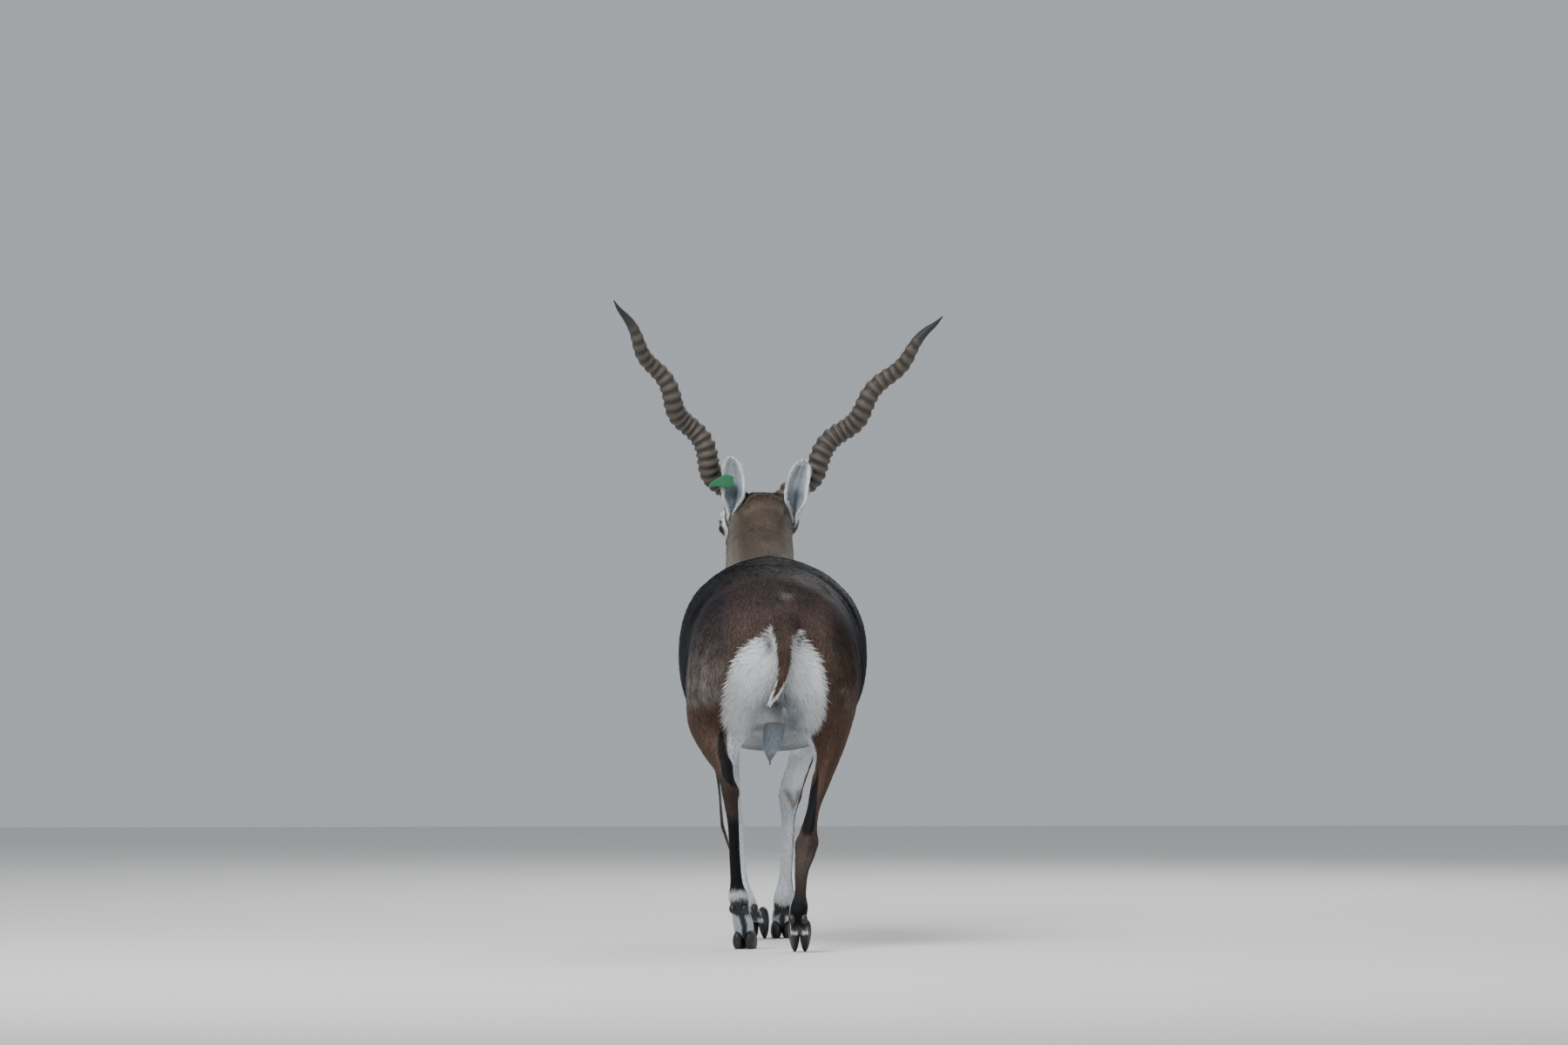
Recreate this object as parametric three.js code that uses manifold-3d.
// A blackbuck buck at life size, walking, seen as a museum would model it.
// Millimetres, +Z up. The animal faces +Y, its right side is +X, and it stands on z = 0.
import * as THREE from 'three';
import { mergeVertices } from 'three/addons/utils/BufferGeometryUtils.js';
import Module from 'manifold-3d';

const wasm = await Module();
wasm.setup();

// Driving sizes of the whole animal
const seam = 0.3; // gap between two nodes that meet face to face
const bedding = 0.8; // how much fatter a cutter is than the node that sits in its hollow
const withersZ = 730;
const rumpZ = 698;
const backZ = 714;
const bellyZ = 357;
const barrelHalf = 179; // half the width of the belly
const buttockY = -345;
const breastY = 372;

// Head
const headYaw = 9; // degrees, turned to the animal's left
const headPitch = -26; // degrees, nose down
const headRoll = 2.5; // degrees, left side up
const poll = [6, 606, 846];
const muzzleLength = 244; // poll to nose tip
const eyeRadius = 14.5;
const eyePlace = [54, 84, -30];

// Horns
const hornYaw = 4; // degrees, the way between the two horns leans less than the face
const hornBase = [41, 30, -29];
const hornTip = [319, -150, 360]; // from the poll, level with the ground
const hornTurns = 3.54;
const hornPhase = 0.305; // where along the horn its helix lies nearest the other horn
const hornReach = [10.6, 3.6]; // how far the helix stands off its axis, at base and tip
const hornBow = [-2.3, 22.8]; // how far the axis bows, towards the other horn and forward
const hornRings = 28;
const hornSides = 10;
const hornRadius = 21.5;
const smoothTip = 0.13; // share of the horn that has no rings

// Ears and the tag in the left one
const earHalf = 24;
const earBow = 6.5; // each ear bows this far towards the other
const earThick = 3.2;

const floorZ = 0;
const rad = THREE.MathUtils.degToRad;

// Rows of numbers joined by one smooth Catmull-Rom curve, read at t from 0 to 1
const readRows = (rows, t) => {
  const place = Math.min(Math.max(t, 0), 1) * (rows.length - 1);
  const i = Math.min(Math.floor(place), rows.length - 2);
  const f = place - i;
  const a = rows[Math.max(i - 1, 0)];
  const b = rows[i];
  const c = rows[i + 1];
  const d = rows[Math.min(i + 2, rows.length - 1)];
  return b.map((_, j) => b[j] + 0.5 * f * (c[j] - a[j]
    + f * (2 * a[j] - 5 * b[j] + 4 * c[j] - d[j] + f * (3 * b[j] - a[j] - 3 * c[j] + d[j]))));
};

// Closed skin over rings of points, each ring a list of Vector3, with a point at each end
const skinRings = (rings) => {
  const sides = rings[0].length;
  const points = rings.flat();
  const middle = (ring) => ring.reduce((sum, p) => sum.add(p), new THREE.Vector3()).divideScalar(sides);
  points.push(middle(rings[0]), middle(rings[rings.length - 1]));
  const faces = [];
  for (let r = 0; r < rings.length - 1; r += 1) {
    for (let s = 0; s < sides; s += 1) {
      const next = (s + 1) % sides;
      const [p, q] = [r * sides + s, r * sides + next];
      faces.push([p, q, q + sides], [p, q + sides, p + sides]);
    }
  }
  const last = (rings.length - 1) * sides;
  for (let s = 0; s < sides; s += 1) {
    const next = (s + 1) % sides;
    faces.push([points.length - 2, next, s], [points.length - 1, last + s, last + next]);
  }
  const geometry = new THREE.BufferGeometry();
  geometry.setAttribute('position', new THREE.Float32BufferAttribute(points.flatMap((p) => p.toArray()), 3));
  geometry.setIndex(faces.flat());
  return geometry;
};

// Body length: rows hold x, y, z, half width, reach up, reach down and, where it changes along
// the length, how square the section is; `up` says which way up is.
// Each ring stands square to the path, or lies level where `level` is set, with its reaches to
// the front and back. `grow` makes the whole thing fatter for a cutter.
const plainLoft = { sides: 16, steps: 20, up: [0, 0, 1], grow: 0, square: 2, level: false };
const loft = (rows, choices = {}) => {
  const { sides, steps, up, grow, square, level } = { ...plainLoft, ...choices };
  const rings = [];
  const upward = new THREE.Vector3(...up);
  for (let k = 0; k <= steps; k += 1) {
    const t = k / steps;
    const [x, y, z, half, above, below, boxy = square] = readRows(rows, t);
    const before = readRows(rows, t - 0.01);
    const after = readRows(rows, t + 0.01);
    const along = level
      ? new THREE.Vector3(0, 0, -1)
      : new THREE.Vector3(after[0] - before[0], after[1] - before[1], after[2] - before[2]).normalize();
    const side = new THREE.Vector3().crossVectors(along, upward).normalize();
    const high = new THREE.Vector3().crossVectors(side, along);
    const end = grow * ((k === steps) - (k === 0));
    const centre = new THREE.Vector3(x, y, z).addScaledVector(along, end);
    const ring = [];
    for (let s = 0; s < sides; s += 1) {
      const angle = (2 * Math.PI * (s + 0.5)) / sides;
      const [c, v] = [Math.cos(angle), Math.sin(angle)];
      const across = Math.sign(c) * Math.abs(c) ** (2 / boxy) * (half + grow);
      const rise = Math.sign(v) * Math.abs(v) ** (2 / boxy) * ((v > 0 ? above : below) + grow);
      ring.push(centre.clone().addScaledVector(side, across).addScaledVector(high, rise));
    }
    rings.push(ring);
  }
  return skinRings(rings);
};

const signedVolume = (geometry) => {
  const place = geometry.getAttribute('position');
  const index = geometry.getIndex().array;
  const [a, b, c] = [new THREE.Vector3(), new THREE.Vector3(), new THREE.Vector3()];
  let sum = 0;
  for (let i = 0; i < index.length; i += 3) {
    a.fromBufferAttribute(place, index[i]);
    b.fromBufferAttribute(place, index[i + 1]);
    c.fromBufferAttribute(place, index[i + 2]);
    sum += a.dot(b.cross(c));
  }
  return sum;
};

// A three.js geometry as a solid that can be joined and cut
const toSolid = (geometry) => {
  const bare = geometry.clone();
  bare.deleteAttribute('normal');
  bare.deleteAttribute('uv');
  const merged = mergeVertices(bare, 1e-4);
  const index = Array.from(merged.getIndex().array);
  if (signedVolume(merged) < 0) {
    for (let i = 0; i < index.length; i += 3) {
      [index[i + 1], index[i + 2]] = [index[i + 2], index[i + 1]];
    }
  }
  return new wasm.Manifold(new wasm.Mesh({
    numProp: 3,
    vertProperties: new Float32Array(merged.getAttribute('position').array),
    triVerts: new Uint32Array(index),
  }));
};

const join = (...solids) => solids.reduce((sum, solid) => sum.add(solid));
const larger = (a, b) => (b.volume() > a.volume() ? b : a);
const largest = (solid) => solid.decompose().reduce(larger);

const placed = (geometry, matrix) => toSolid(geometry.clone().applyMatrix4(matrix));

const turned = (place, angles = [0, 0, 0], size = [1, 1, 1]) => new THREE.Matrix4().compose(
  new THREE.Vector3(...place),
  new THREE.Quaternion().setFromEuler(new THREE.Euler(...angles.map(rad), 'ZXY')),
  new THREE.Vector3(...size),
);

// A solid keeps only what lies behind a plane: the plane's point, the way it faces, and a gap
const blockSize = 2400;
const cutAhead = (solid, point, facing, gap = seam / 2) => {
  const way = new THREE.Vector3(...facing).normalize();
  const middle = new THREE.Vector3(...point).addScaledVector(way, blockSize / 2 - gap);
  const matrix = new THREE.Matrix4().compose(
    middle,
    new THREE.Quaternion().setFromUnitVectors(new THREE.Vector3(0, 0, 1), way),
    new THREE.Vector3(1, 1, 1),
  );
  return solid.subtract(placed(new THREE.BoxGeometry(blockSize, blockSize, blockSize), matrix));
};
const cutBehind = (solid, point, facing) => cutAhead(solid, point, facing.map((v) => -v));

const group = new THREE.Group();

const addNode = (name, solid, colour, roughness = 0.85) => {
  const { vertProperties, triVerts } = largest(solid).getMesh();
  const geometry = new THREE.BufferGeometry();
  geometry.setAttribute('position', new THREE.Float32BufferAttribute(vertProperties, 3));
  geometry.setIndex(Array.from(triVerts));
  geometry.computeVertexNormals();
  const finish = new THREE.MeshStandardMaterial({ color: colour, roughness, metalness: 0 });
  const mesh = new THREE.Mesh(geometry, finish);
  mesh.name = name;
  group.add(mesh);
};

// Trunk, from the buttocks to the breast
const trunkRows = [
  [-4, buttockY - 4, 540, 10, 20, 24, 2.08], [-6, buttockY + 6, 538, 48, 54, 62, 2.08],
  [-8, buttockY + 22, 536, 84, 88, 88, 2.08], [-10, -294, 532, 116, 124, 98, 2.08],
  [-12, -250, 530, 142, 152, 110, 2.08], [-12, -190, 532, 157, rumpZ - 532, 128, 2.08],
  [-8, -120, 536, 163, rumpZ - 530, 154, 2.12], [-4, -40, 540, 175, backZ - 541, 176, 2.22],
  [-1, 40, 541, barrelHalf, backZ - 541, 541 - bellyZ, 2.3], [-1, 120, 544, 173, 178, 184, 2.3],
  [0, 195, 552, 146, withersZ - 552, 170, 2.2], [0, 262, 562, 116, 160, 152, 2.08],
  [0, 320, 560, 88, 126, 124, 2.08], [0, breastY - 8, 552, 54, 80, 84, 2.08],
  [0, breastY + 10, 548, 16, 26, 28, 2.08],
];
const trunkShape = (grow = 0) => loft(trunkRows, { sides: 26, steps: 26, grow });

const neckRows = [
  [0, 205, 590, 110, 118, 140],
  [-3, 300, 632, 88, 92, 112],
  [-5, 400, 683, 72, 70, 88],
  [-3, 480, 726, 66, 60, 70],
  [0, 545, 760, 64, 55, 62],
  [4, 592, 785, 64, 56, 62],
  [6, 632, 792, 54, 44, 58],
];
const neck = (grow = 0) => toSolid(loft(neckRows, { sides: 20, steps: 12, grow }));

// Head, in its own frame: the poll at the origin, +Y to the nose, +Z out of the forehead
const headFrame = turned(poll, [headPitch, headRoll, headYaw]);
const hornFrame = turned(poll, [0, headRoll, hornYaw]);

const skullRows = [
  [0, -34, -44, 40, 30, 44],
  [0, -12, -43, 52, 41, 54],
  [0, 26, -46, 60, 44, 62],
  [0, 62, -48, 62, 45, 64],
  [0, 96, -51, 56, 43, 60],
  [0, 130, -54, 41, 37, 50],
  [0, 166, -58, 31, 32, 40],
  [0, 200, -63, 26, 28, 30],
  [0, 224, -67, 25, 25, 24],
  [0, muzzleLength - 7, -70, 19, 19, 18],
  [0, muzzleLength, -72, 9, 9, 9],
];
const jawRows = [
  [0, 40, -88, 42, 20, 26],
  [0, 90, -92, 34, 20, 20],
  [0, 150, -92, 20, 16, 13],
  [0, 205, -92, 16, 12, 9],
  [0, 228, -90, 12, 9, 7],
  [0, 235, -89, 5, 4, 4],
];
const mouthRows = [
  [34, 158, -84, 1.5, 1.5, 1.5],
  [27, 190, -86, 1.5, 1.5, 1.5],
  [22, 216, -86, 1.5, 1.5, 1.5],
  [13, 236, -84, 1.5, 1.5, 1.5],
  [0, 243, -83, 1.5, 1.5, 1.5],
];

const inHead = (geometry, matrix = turned([0, 0, 0])) => (
  placed(geometry, headFrame.clone().multiply(matrix))
);
const bothSides = (make) => [-1, 1].map(make);
const mirrorRows = (rows, side) => rows.map(([x, ...rest]) => [side * x, ...rest]);

// The line of a horn: a straight axis with a slight bow and a helix round it, and its rings
const hornPath = (side) => {
  const base = new THREE.Vector3(side * hornBase[0], hornBase[1], hornBase[2]);
  const tip = new THREE.Vector3(side * hornTip[0], hornTip[1], hornTip[2]);
  const axis = tip.clone().sub(base);
  const way = axis.clone().normalize();
  const inward = new THREE.Vector3(-side, 0, 0);
  inward.addScaledVector(way, -inward.dot(way)).normalize();
  const forward = new THREE.Vector3().crossVectors(way, inward).multiplyScalar(side);
  if (forward.y < 0) forward.negate();
  const centreAt = (s) => {
    const turn = 2 * Math.PI * hornTurns * (s - hornPhase);
    const fade = THREE.MathUtils.clamp(s / 0.08, 0, 1) * Math.min(1, (1.02 - s) / 0.1);
    const reach = THREE.MathUtils.lerp(...hornReach, s) * fade;
    const bow = 4 * s * (1 - s);
    return base.clone().addScaledVector(axis, s)
      .addScaledVector(inward, reach * Math.cos(turn) + hornBow[0] * bow)
      .addScaledVector(forward, reach * Math.sin(turn) + hornBow[1] * bow);
  };
  const ringAt = (s, radius) => {
    const along = centreAt(s + 0.004).sub(centreAt(s - 0.004)).normalize();
    const across = new THREE.Vector3().crossVectors(along, forward).normalize();
    const over = new THREE.Vector3().crossVectors(across, along);
    return Array.from({ length: hornSides }, (_, i) => {
      const angle = (2 * Math.PI * i) / hornSides;
      return centreAt(s)
        .addScaledVector(across, radius * Math.cos(angle))
        .addScaledVector(over, radius * Math.sin(angle) * 1.05);
    });
  };
  return { ringAt };
};

// The furred stump under each horn: a place along the horn and the radius there
const pedicle = [[-0.1, 12], [-0.085, 20], [-0.05, 25], [0, 25.5], [0.028, 24.5], [0.038, 21]];

const headFlesh = (grow = 0) => join(
  inHead(loft(skullRows, { sides: 20, steps: 18, grow, square: 2.15 })),
  inHead(loft(jawRows, { sides: 12, steps: 8, grow })),
  ...bothSides((side) => inHead(
    new THREE.SphereGeometry(1, 12, 8),
    turned([side * 44.5, 82, -27], [0, 0, side * 8], [20 + grow, 29 + grow, 23 + grow]),
  )),
  ...bothSides((side) => inHead(
    new THREE.SphereGeometry(1, 10, 6),
    turned([side * 57, 72, -11], [0, side * 15, side * 10], [14 + grow, 22 + grow, 10 + grow]),
  )),
  ...bothSides((side) => placed(
    skinRings(pedicle.map(([s, radius]) => hornPath(side).ringAt(s, radius + grow))),
    hornFrame,
  )),
);

const addLids = (flesh) => join(flesh, ...bothSides((side) => inHead(
  new THREE.TorusGeometry(eyeRadius - 2, 3.4, 5, 14),
  turned([side * (eyePlace[0] + 9), eyePlace[1] + 1, eyePlace[2]], [0, side * 80, side * 8], [1, 0.86, 1]),
)));

const carveHead = (solid) => {
  let carved = solid;
  for (const side of [-1, 1]) {
    const eyeHole = turned([side * eyePlace[0], eyePlace[1], eyePlace[2]]);
    const nostril = turned([side * 16, 236, -61], [-24, side * 24, side * 30], [4.4, 9, 5.5]);
    const tearPit = turned([side * 46, 122, -39], [-24, 0, side * -22], [4, 13, 3]);
    carved = carved.subtract(inHead(new THREE.SphereGeometry(eyeRadius + seam, 14, 10), eyeHole));
    carved = carved.subtract(inHead(new THREE.SphereGeometry(1, 10, 6), nostril));
    carved = carved.subtract(inHead(new THREE.SphereGeometry(1, 8, 6), tearPit));
    carved = carved.subtract(inHead(loft(mirrorRows(mouthRows, side), { sides: 5, steps: 8, square: 2 })));
  }
  return carved;
};

// Where the body is parted by thin cuts: a point on each cut and the way it faces
const neckCut = [[0, 292, 640], [0, 0.86, 0.5]];
const headCut = [[4, 590, 800], [-0.1, 0.97, -0.22]];

const headWhole = carveHead(addLids(join(headFlesh(), neck())));
addNode('head', cutBehind(headWhole, ...headCut), 0x6b5646);

for (const [name, side] of [['left', -1], ['right', 1]]) {
  const place = turned([side * eyePlace[0], eyePlace[1], eyePlace[2]]);
  addNode(`eye_${name}`, inHead(new THREE.SphereGeometry(eyeRadius, 14, 10), place), 0x120c08, 0.08);
}

// A horn: the path's centres carry rings of skin, raised and sunk in turn
const hornSolid = (side) => {
  const { ringAt } = hornPath(side);
  const radiusAt = (s) => hornRadius * (1 - 0.1 * s - 0.36 * s ** 2 - 0.5 * s ** 7);
  const stations = [[-0.03, 1.01], [0.012, 1.03]];
  const ringed = 1 - smoothTip;
  for (let k = 0; k < hornRings; k += 1) {
    const at = (u) => 0.015 + (ringed - 0.015) * (0.72 * u + 0.28 * u * u);
    const swell = 0.075 - 0.02 * (k / hornRings);
    stations.push([at((k + 0.22) / hornRings), 1 - swell * 0.7], [at((k + 0.72) / hornRings), 1 + swell]);
  }
  for (const s of [ringed + 0.01, 0.91, 0.945, 0.97, 0.99, 1]) stations.push([s, 1]);
  const rings = stations.map(([s, swell]) => ringAt(s, Math.max(radiusAt(s), 1.6) * swell));
  return placed(skinRings(rings), hornFrame);
};

const headCutter = headFlesh(bedding);
for (const [name, side] of [['left', -1], ['right', 1]]) {
  addNode(`horn_${name}`, hornSolid(side).subtract(headCutter), 0x5a5348, 0.6);
}

// Ears: a leaf-shaped cup whose hollow faces back, on a short root
const earSolid = (side, base, top) => {
  const foot = new THREE.Vector3(...base);
  const way = new THREE.Vector3(...top).sub(foot);
  const length = way.length();
  way.normalize();
  const back = new THREE.Vector3(side * 0.14, -1, 0);
  back.addScaledVector(way, -back.dot(way)).normalize();
  const across = new THREE.Vector3().crossVectors(way, back);
  const shape = [
    [-0.08, 0.14, 1.2], [0.03, 0.28, 2.4], [0.12, 0.38, 2.5], [0.24, 0.6, 2.3], [0.35, 0.84, 2],
    [0.46, 0.93, 1.6], [0.6, 0.93, 1.3], [0.74, 0.86, 1.1], [0.86, 0.72, 1], [0.94, 0.52, 0.9],
    [0.985, 0.28, 0.8], [1, 0.08, 0.7],
  ];
  const lines = 6;
  const rings = shape.map(([t, wide, curl]) => {
    const middle = foot.clone().addScaledVector(way, t * length)
      .addScaledVector(across, -side * earBow * 4 * t * (1 - t));
    const half = earHalf * wide;
    const radius = half / Math.sin(Math.min(curl, Math.PI / 2));
    const ring = [];
    const edge = (angle, r) => middle.clone()
      .addScaledVector(across, r * Math.sin(angle))
      .addScaledVector(back, radius * 0.6 - r * Math.cos(angle));
    const wall = Math.min(earThick, radius);
    for (let i = 0; i <= lines; i += 1) ring.push(edge(curl * (2 * i / lines - 1), radius + wall / 2));
    for (let i = lines; i >= 0; i -= 1) {
      ring.push(edge(curl * 0.97 * (2 * i / lines - 1), radius - wall / 2));
    }
    return ring;
  });
  const root = placed(new THREE.SphereGeometry(1, 12, 8), turned(
    [base[0], base[1] + 12.4, base[2] - 3], [20, side * 12, 0], [13, 13.4, 26],
  ));
  return join(toSolid(skinRings(rings)), root);
};

const earPlaces = {
  left: { side: -1, base: [-54, 592, 801], top: [-56, 560, 917] },
  right: { side: 1, base: [68, 598, 793], top: [90, 566, 911] },
};
const earSolids = Object.fromEntries(Object.entries(earPlaces).map(([name, { side, base, top }]) => (
  [name, earSolid(side, base, top).subtract(headCutter).subtract(neck(bedding))]
)));
for (const [name, ear] of Object.entries(earSolids)) addNode(`ear_${name}`, ear, 0x8f8a84);

// Tag: a round stud in the cup of the left ear, and a flap that passes out over the ear's rim
const tagPlace = [-55, 577, 868];
const tagRows = [
  [-50, 560.5, 873, 9, 0.9, 0.9], [-60, 559.5, 873, 12.5, 0.9, 0.9], [-70, 557, 873, 11.5, 0.9, 0.9],
  [-82, 554, 870, 7.5, 0.9, 0.9], [-97, 551, 864, 3, 0.9, 0.9],
];
const studPlace = turned([tagPlace[0], tagPlace[1] - 4.5, tagPlace[2]]);
const stud = placed(new THREE.CylinderGeometry(6.2, 6.2, 22, 12), studPlace);
const tagBed = earSolids.left.add(earSolids.left.translate([0, -bedding, 0]));
const offRim = (solid) => solid.subtract(tagBed);
addNode('ear_tag_stud', offRim(stud), 0x2f8f5a, 0.4);
addNode('ear_tag_flap', toSolid(loft(tagRows, { sides: 6, steps: 6, up: [0, -1, 0] })), 0x27794b, 0.4);

// Tail, hanging over the rump and swinging to the left at its tip
const tailRows = [
  [3, -300, 626, 16, 12, 12],
  [3, -330, 606, 20, 10, 12],
  [0, -352, 575, 13, 7, 9],
  [-2, -364, 540, 10, 6, 7],
  [-9, -372, 505, 10, 5, 6],
  [-20, -376, 475, 8, 4, 5],
  [-29, -377, 452, 3, 2, 2],
];
const tail = toSolid(loft(tailRows, { sides: 10, steps: 12, up: [0, -1, 0] }));

// Legs: rows from the top down, x for the animal's own side, with reach forward and back
const legs = {
  hind_left: {
    rows: [
      [-72, -196, 668, 14, 18, 20], [-84, -200, 646, 45, 58, 64], [-95, -203, 592, 67, 98, 118],
      [-98, -207, 515, 78, 114, 140], [-103, -203, 452, 74, 106, 128], [-111, -203, 404, 60, 92, 90],
      [-114, -240, 366, 38, 74, 72], [-109, -284, 340, 25.5, 50, 50], [-107, -322, 318, 17.5, 34, 42],
      [-100, -340, 296, 16, 23, 28], [-98, -345, 268, 14, 17, 19], [-94, -344, 230, 11.5, 14, 15],
      [-91.5, -342, 175, 11, 13, 14], [-88, -340, 125, 12.5, 14, 16], [-84, -337, 98, 19.5, 18, 21],
      [-80, -325, 72, 18, 18, 20], [-74, -310, 46, 19.5, 22, 21],
      [-71, -300, 24, 18, 26, 20], [-70, -296, 10, 14, 22, 18],
    ],
    cannonTop: [[-99, -345, 276], [0.03, 0.05, -1]],
    fetlock: [[-86, -338, 116], [0, 0.1, -1]],
    heading: -14,
    rise: 0,
    sink: -8,
  },
  hind_right: {
    rows: [
      [60, -200, 664, 12, 18, 20], [70, -205, 640, 36, 58, 62], [81, -209, 592, 54, 96, 114],
      [83, -214, 515, 68, 108, 131], [79, -214, 455, 66, 100, 118], [83, -216, 404, 50, 84, 84],
      [87, -232, 362, 31, 60, 58], [73, -262, 312, 21.5, 40, 36], [58, -292, 264, 13.5, 28, 32],
      [48, -316, 228, 15.5, 26, 38], [42, -334, 198, 21.5, 26, 32], [37, -356, 172, 19.5, 22, 25],
      [29, -396, 144, 14, 21, 22], [24, -446, 108, 12, 23, 24], [20, -478, 84, 17.5, 24, 25],
      [18, -488, 58, 16, 19, 20], [21, -480, 34, 18, 20, 20],
    ],
    cannonTop: [[39, -348, 182], [-0.05, -0.6, -0.8]],
    fetlock: [[23, -454, 102], [0, -0.55, -0.83]],
    heading: -4,
    rise: 38,
    sink: 0,
  },
  fore_left: {
    rows: [
      [-62, 210, 688, 10, 18, 18], [-70, 218, 664, 28, 46, 44], [-86, 238, 600, 45, 76, 76],
      [-99, 252, 530, 50, 80, 88], [-94, 224, 464, 42, 62, 74], [-84, 188, 395, 34, 42, 48],
      [-82, 182, 340, 28, 32, 34], [-76, 190, 284, 22.5, 25, 27], [-71, 204, 228, 22.5, 23, 23],
      [-65, 203, 196, 21.5, 21, 21], [-59, 188, 156, 14.5, 16, 16], [-53, 168, 112, 12.5, 15, 15],
      [-46, 150, 78, 18, 19, 21], [-38, 142, 56, 18, 17, 18], [-28, 146, 34, 18, 18, 18],
    ],
    cannonTop: [[-68, 206, 212], [0.2, -0.1, -1]],
    fetlock: [[-50, 160, 96], [0.2, -0.4, -1]],
    heading: -14,
    rise: 40,
    sink: 0,
  },
  fore_right: {
    rows: [
      [60, 210, 688, 10, 18, 18], [68, 218, 664, 28, 46, 44], [84, 238, 600, 45, 76, 76],
      [95, 252, 530, 49, 80, 88], [86, 220, 464, 42, 60, 72], [71, 186, 395, 33, 42, 48],
      [61, 180, 345, 27, 32, 34], [44, 187, 292, 24, 24, 25], [39, 194, 260, 20, 22, 20],
      [36.5, 192, 230, 14.5, 17, 16], [34.5, 186, 180, 12.5, 14, 14], [31, 181, 120, 13, 14, 14],
      [28, 178, 80, 21, 18, 20], [27, 192, 58, 20, 18, 20], [25, 206, 40, 20, 22, 20],
      [25, 214, 22, 18, 24, 20], [25, 218, 10, 14, 20, 18],
    ],
    cannonTop: [[38, 194, 246], [0, 0, -1]],
    fetlock: [[30, 180, 102], [0, 0, -1]],
    heading: -2,
    rise: 0,
    sink: -8,
  },
};

// Scrotum, hanging between the thighs to a pointed tuft
const scrotumRows = [
  [-13, -214, 415, 14, 15, 15], [-15, -217, 386, 15, 17, 17], [-18, -221, 362, 12, 13, 13],
  [-20, -224, 345, 5, 6, 6], [-20, -225, 338, 1.5, 1.5, 1.5],
];

// One claw of the cloven hoof, lying along +Y with its heel at the origin and its sole at z = 0
const dewclawZ = 50; // the dewclaws sit at the first row above this height
const heelZ = 12; // the soft heel stops this far above the sole
const clawRows = [
  [0, -4, 16, 7, 12, 12], [0, 6, 17, 10.5, 20, 17], [0, 22, 17, 11, 22, 17],
  [0, 38, 14, 9.5, 15, 14], [0, 52, 8, 6.5, 8, 8], [0, 60, 4, 2.5, 3.5, 4],
];

for (const [name, { rows, cannonTop, fetlock, heading, rise, sink }] of Object.entries(legs)) {
  const end = rows[rows.length - 1];
  const leg = toSolid(loft(rows, { sides: 12, steps: 30, up: [0, 1, 0], level: true }));
  const footFrame = turned([end[0], end[1] + sink, floorZ], [0, 0, heading]);
  const roll = turned([0, 42, 0], [-rise, 0, 0]).multiply(turned([0, -42, 0]));
  const clawFrame = (side) => footFrame.clone()
    .multiply(roll)
    .multiply(turned([side * 11.4, -18, -3], [0, 0, side * 2]));
  const clawShape = (side, grow) => placed(loft(clawRows, { sides: 8, steps: 6, grow }), clawFrame(side));
  const dewclaws = [-1, 1].map((side) => {
    const spot = rows.findLast((row) => row[2] > dewclawZ);
    const at = new THREE.Vector3(side * 11, -spot[5] + 1, 4).applyEuler(new THREE.Euler(0, 0, rad(heading)));
    return placed(new THREE.SphereGeometry(1, 6, 5), turned(
      [spot[0] + at.x, spot[1] + at.y, spot[2] + at.z], [-25, 0, heading], [7, 7, 10],
    ));
  });
  addNode(`leg_${name}_upper`, cutAhead(leg, ...cannonTop), 0x5e4a3c);
  addNode(`leg_${name}_lower`, cutAhead(cutBehind(leg, ...cannonTop), ...fetlock), 0x40352c);
  const foot = join(cutBehind(leg, ...fetlock), ...dewclaws);
  const pared = foot.subtract(clawShape(-1, bedding)).subtract(clawShape(1, bedding));
  addNode(`leg_${name}_foot`, cutAhead(pared, [0, 0, heelZ], [0, 0, -1], 0), 0xb9b4ab);
  for (const [which, side] of [['left', -1], ['right', 1]]) {
    const claw = cutAhead(clawShape(side, 0), [0, 0, floorZ], [0, 0, -1], 0);
    addNode(`leg_${name}_claw_${which}`, claw, 0x1d1a18, 0.5);
  }
}

const legCutters = Object.values(legs).map(({ rows }) => (
  toSolid(loft(rows, { sides: 12, steps: 30, up: [0, 1, 0], level: true, grow: bedding }))
));
const trunkAndNeck = join(toSolid(trunkShape()), neck());
const body = legCutters.reduce((solid, cutter) => solid.subtract(cutter), trunkAndNeck);
addNode('torso', cutAhead(body, ...neckCut), 0x2c2a2c);
addNode('neck', cutAhead(cutBehind(body, ...neckCut), ...headCut), 0x5c4a3e);
const scrotum = toSolid(loft(scrotumRows, { sides: 10, steps: 8, up: [0, 1, 0], level: true }));
addNode('scrotum', scrotum.subtract(toSolid(trunkShape(bedding))), 0xb9b4ab);
addNode('tail', tail.subtract(placed(trunkShape(bedding), turned([0, -bedding, 0]))), 0x5e4a3c);

// Everything stands with the middle of its outer box over the origin
const box = new THREE.Box3().setFromObject(group);
const centre = box.getCenter(new THREE.Vector3());
group.position.set(-centre.x, -centre.y, -box.min.z);

export default group;
